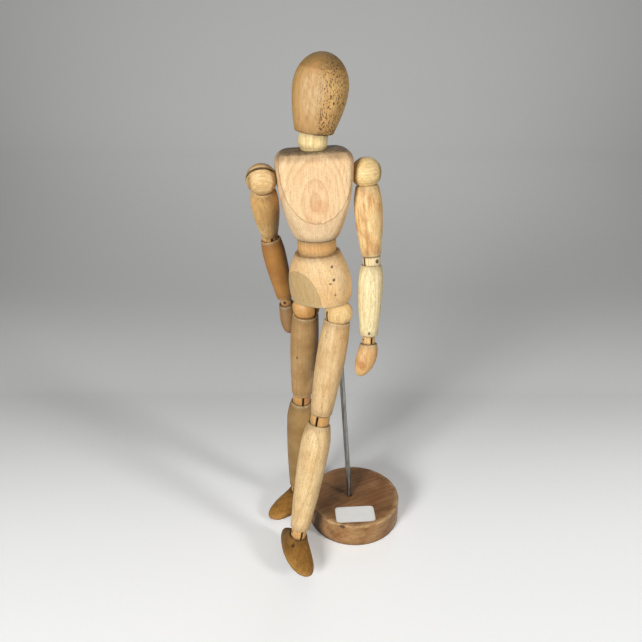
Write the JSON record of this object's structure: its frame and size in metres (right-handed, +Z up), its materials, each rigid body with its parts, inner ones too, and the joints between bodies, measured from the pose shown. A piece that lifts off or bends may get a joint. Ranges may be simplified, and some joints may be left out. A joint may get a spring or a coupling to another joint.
{
  "type": "wooden artist mannequin",
  "caption": "Jointed wooden artist's figure in a walking pose, with turned limbs on pegs and steel tongues, held over a round wooden base by a steel rod.",
  "frame": {"origin": "middle of the base's underside", "axes": "+Z up, the figure faces -Y, its left side is +X"},
  "size_m": [0.1296, 0.1314, 0.4145],
  "materials": {
    "base_wood": "worn satin, medium brown",
    "torso_wood": "worn satin, pale pinkish beige",
    "head_wood": "worn satin, honey",
    "limb_wood": "worn satin, golden honey",
    "peg_wood": "worn satin",
    "foot_wood": "worn, olive brown",
    "rod_steel": "dull drawn rod",
    "pin_steel": "dark wire nail",
    "tongue_steel": "dark strip",
    "spring_steel": "drawn wire"
  },
  "bodies": {
    "base": {"base": "base_wood"},
    "rod": {"rod": "rod_steel"},
    "pelvis": {"pelvis": "torso_wood", "pelvis_anchor_pin": "pin_steel"},
    "waist_spring": {"waist_spring": "spring_steel"},
    "waist_peg": {"waist_peg": "torso_wood"},
    "chest": {"chest": "torso_wood", "chest_anchor_pin": "pin_steel"},
    "neck_spring": {"neck_spring": "spring_steel"},
    "neck_peg": {"neck_peg": "torso_wood"},
    "head": {"head": "head_wood", "head_anchor_pin": "pin_steel"},
    "shoulder_ball_left": {"shoulder_ball_left": "peg_wood", "shoulder_pin_left": "pin_steel"},
    "upper_arm_left": {"shoulder_tongue_left": "tongue_steel", "upper_arm_left": "limb_wood"},
    "elbow_peg_left": {"elbow_peg_left": "peg_wood", "elbow_pin_left": "pin_steel"},
    "forearm_left": {"elbow_tongue_left": "tongue_steel", "forearm_left": "limb_wood"},
    "wrist_peg_left": {"wrist_peg_left": "peg_wood", "wrist_pin_left": "pin_steel"},
    "hand_left": {"hand_left": "limb_wood", "wrist_tongue_left": "tongue_steel"},
    "hip_ball_left": {"hip_ball_left": "peg_wood", "hip_pin_left": "pin_steel"},
    "thigh_left": {"hip_tongue_left": "tongue_steel", "thigh_left": "limb_wood"},
    "knee_peg_left": {"knee_peg_left": "peg_wood", "knee_pin_left": "pin_steel"},
    "shin_left": {"knee_tongue_left": "tongue_steel", "shin_left": "limb_wood"},
    "ankle_peg_left": {"ankle_peg_left": "peg_wood", "ankle_pin_left": "pin_steel"},
    "foot_left": {"ankle_tongue_left": "tongue_steel", "foot_left": "foot_wood"},
    "shoulder_ball_right": {"shoulder_ball_right": "peg_wood", "shoulder_pin_right": "pin_steel"},
    "upper_arm_right": {"shoulder_tongue_right": "tongue_steel", "upper_arm_right": "limb_wood"},
    "elbow_peg_right": {"elbow_peg_right": "peg_wood", "elbow_pin_right": "pin_steel"},
    "forearm_right": {"elbow_tongue_right": "tongue_steel", "forearm_right": "limb_wood"},
    "wrist_peg_right": {"wrist_peg_right": "peg_wood", "wrist_pin_right": "pin_steel"},
    "hand_right": {"hand_right": "limb_wood", "wrist_tongue_right": "tongue_steel"},
    "hip_ball_right": {"hip_ball_right": "peg_wood", "hip_pin_right": "pin_steel"},
    "thigh_right": {"hip_tongue_right": "tongue_steel", "thigh_right": "limb_wood"},
    "knee_peg_right": {"knee_peg_right": "peg_wood", "knee_pin_right": "pin_steel"},
    "shin_right": {"knee_tongue_right": "tongue_steel", "shin_right": "limb_wood"},
    "ankle_peg_right": {"ankle_peg_right": "peg_wood", "ankle_pin_right": "pin_steel"},
    "foot_right": {"ankle_tongue_right": "tongue_steel", "foot_right": "foot_wood"}
  },
  "joints": [
    {"name": "rod_turn", "type": "hinge", "parent": "base", "child": "rod", "pos_m": [-0.004, 0, 0.023], "axis": [-0.0715, 0, 0.9974], "range_deg": [-85, 120]},
    {"name": "figure_lift", "type": "slide", "parent": "rod", "child": "pelvis", "axis": [-0.0715, 0, 0.9974], "range_m": [0, 0.015]},
    {"name": "waist_side", "type": "hinge", "parent": "pelvis", "child": "waist_spring", "pos_m": [-0.03462, -0.00891, 0.27745], "axis": [0.5137, 0.8572, 0.0368], "range_deg": [-8, 4]},
    {"name": "waist_bend", "type": "hinge", "parent": "waist_spring", "child": "waist_peg", "pos_m": [-0.03462, -0.00891, 0.27745], "axis": [0.8569, -0.5148, 0.0282], "range_deg": [-10, 12], "deforming": ["waist_spring"]},
    {"name": "waist_twist", "type": "hinge", "parent": "waist_peg", "child": "chest", "pos_m": [-0.03462, -0.00891, 0.27745], "axis": [-0.0341, -0.0021, 0.9994], "range_deg": [-80, 45]},
    {"name": "neck_side", "type": "hinge", "parent": "chest", "child": "neck_spring", "pos_m": [-0.0373, -0.00908, 0.3558], "axis": [-0.1395, 0.9902, -0.0027], "range_deg": [-20, 8]},
    {"name": "neck_bend", "type": "hinge", "parent": "neck_spring", "child": "neck_peg", "pos_m": [-0.0373, -0.00908, 0.3558], "axis": [0.9828, 0.1381, -0.1227], "range_deg": [-15, 15], "deforming": ["neck_spring"]},
    {"name": "head_turn", "type": "hinge", "parent": "neck_peg", "child": "head", "pos_m": [-0.0373, -0.00908, 0.3558], "axis": [0.1211, 0.0197, 0.9924], "continuous": true},
    {"name": "shoulder_turn_left", "type": "hinge", "parent": "chest", "child": "shoulder_ball_left", "pos_m": [0.00223, -0.00357, 0.33125], "axis": [-0.9896, -0.1395, -0.0341], "range_deg": [-60, 150]},
    {"name": "shoulder_bend_left", "type": "hinge", "parent": "shoulder_ball_left", "child": "upper_arm_left", "pos_m": [0.00223, -0.00357, 0.33125], "axis": [0.1343, -0.9831, 0.1244], "range_deg": [-1, 138]},
    {"name": "elbow_turn_left", "type": "hinge", "parent": "upper_arm_left", "child": "elbow_peg_left", "pos_m": [0.00795, -0.01119, 0.26493], "axis": [-0.0854, 0.1136, 0.9898], "range_deg": [-90, 90]},
    {"name": "elbow_bend_left", "type": "hinge", "parent": "elbow_peg_left", "child": "forearm_left", "pos_m": [0.00795, -0.01119, 0.26493], "axis": [0.5535, -0.8207, 0.142], "range_deg": [-8, 52]},
    {"name": "wrist_turn_left", "type": "hinge", "parent": "forearm_left", "child": "wrist_peg_left", "pos_m": [0.00691, -0.02277, 0.202], "axis": [0.0162, 0.181, 0.9833], "range_deg": [-90, 90]},
    {"name": "wrist_bend_left", "type": "hinge", "parent": "wrist_peg_left", "child": "hand_left", "pos_m": [0.00691, -0.02277, 0.202], "axis": [-0.9162, -0.3912, 0.0871], "range_deg": [-49, 41]},
    {"name": "hip_turn_left", "type": "hinge", "parent": "pelvis", "child": "hip_ball_left", "pos_m": [-0.01737, -0.01689, 0.22254], "axis": [-0.0715, 0, 0.9974], "range_deg": [-25, 40]},
    {"name": "hip_bend_left", "type": "hinge", "parent": "hip_ball_left", "child": "thigh_left", "pos_m": [-0.01737, -0.01689, 0.22254], "axis": [-0.5286, 0.848, -0.0379], "range_deg": [-2, 45]},
    {"name": "knee_turn_left", "type": "hinge", "parent": "thigh_left", "child": "knee_peg_left", "pos_m": [-0.0322, -0.03022, 0.13119], "axis": [0.1586, 0.1425, 0.977], "range_deg": [-45, 45]},
    {"name": "knee_bend_left", "type": "hinge", "parent": "knee_peg_left", "child": "shin_left", "pos_m": [-0.0322, -0.03022, 0.13119], "axis": [0.9299, -0.354, -0.0993], "range_deg": [-43, 6]},
    {"name": "ankle_turn_left", "type": "hinge", "parent": "shin_left", "child": "ankle_peg_left", "pos_m": [-0.05091, -0.04943, 0.02451], "axis": [0.1701, 0.1747, 0.9698], "range_deg": [-45, 45]},
    {"name": "ankle_bend_left", "type": "hinge", "parent": "ankle_peg_left", "child": "foot_left", "pos_m": [-0.05091, -0.04943, 0.02451], "axis": [0.9092, 0.3517, -0.2228], "range_deg": [-35, 25]},
    {"name": "shoulder_turn_right", "type": "hinge", "parent": "chest", "child": "shoulder_ball_right", "pos_m": [-0.07506, -0.01447, 0.32859], "axis": [0.9896, 0.1395, 0.0341], "range_deg": [-5, 150]},
    {"name": "shoulder_bend_right", "type": "hinge", "parent": "shoulder_ball_right", "child": "upper_arm_right", "pos_m": [-0.07506, -0.01447, 0.32859], "axis": [-0.1329, 0.7999, 0.5853], "range_deg": [-1, 144]},
    {"name": "elbow_turn_right", "type": "hinge", "parent": "upper_arm_right", "child": "elbow_peg_right", "pos_m": [-0.07407, 0.0252, 0.2746], "axis": [-0.0148, -0.5921, 0.8058], "range_deg": [-90, 90]},
    {"name": "elbow_bend_right", "type": "hinge", "parent": "elbow_peg_right", "child": "forearm_right", "pos_m": [-0.07407, 0.0252, 0.2746], "axis": [0.9417, 0.2626, 0.2102], "range_deg": [-8, 75]},
    {"name": "wrist_turn_right", "type": "hinge", "parent": "forearm_right", "child": "wrist_peg_right", "pos_m": [-0.0625, 0.03363, 0.21222], "axis": [-0.1808, -0.1318, 0.9746], "range_deg": [-90, 90]},
    {"name": "wrist_bend_right", "type": "hinge", "parent": "wrist_peg_right", "child": "hand_right", "pos_m": [-0.0625, 0.03363, 0.21222], "axis": [0.1239, 0.98, 0.1555], "range_deg": [-48, 42]},
    {"name": "hip_turn_right", "type": "hinge", "parent": "pelvis", "child": "hip_ball_right", "pos_m": [-0.04387, -0.00093, 0.22064], "axis": [-0.0715, 0, 0.9974], "range_deg": [-12, 30]},
    {"name": "hip_bend_right", "type": "hinge", "parent": "hip_ball_right", "child": "thigh_right", "pos_m": [-0.04387, -0.00093, 0.22064], "axis": [0.6674, 0.7431, 0.0478], "range_deg": [0, 20]},
    {"name": "knee_turn_right", "type": "hinge", "parent": "thigh_right", "child": "knee_peg_right", "pos_m": [-0.04884, 0.00951, 0.12786], "axis": [0.0531, -0.1116, 0.9923], "range_deg": [-38, 28]},
    {"name": "knee_bend_right", "type": "hinge", "parent": "knee_peg_right", "child": "shin_right", "pos_m": [-0.04884, 0.00951, 0.12786], "axis": [0.9832, 0.1794, -0.0325], "range_deg": [-3, 47]},
    {"name": "ankle_turn_right", "type": "hinge", "parent": "shin_right", "child": "ankle_peg_right", "pos_m": [-0.05401, 0.01802, 0.01831], "axis": [0.047, -0.0774, 0.9959], "range_deg": [-25, 30]},
    {"name": "ankle_bend_right", "type": "hinge", "parent": "ankle_peg_right", "child": "foot_right", "pos_m": [-0.05401, 0.01802, 0.01831], "axis": [0.767, -0.6359, -0.0856], "range_deg": [-27, 32]}
  ]
}
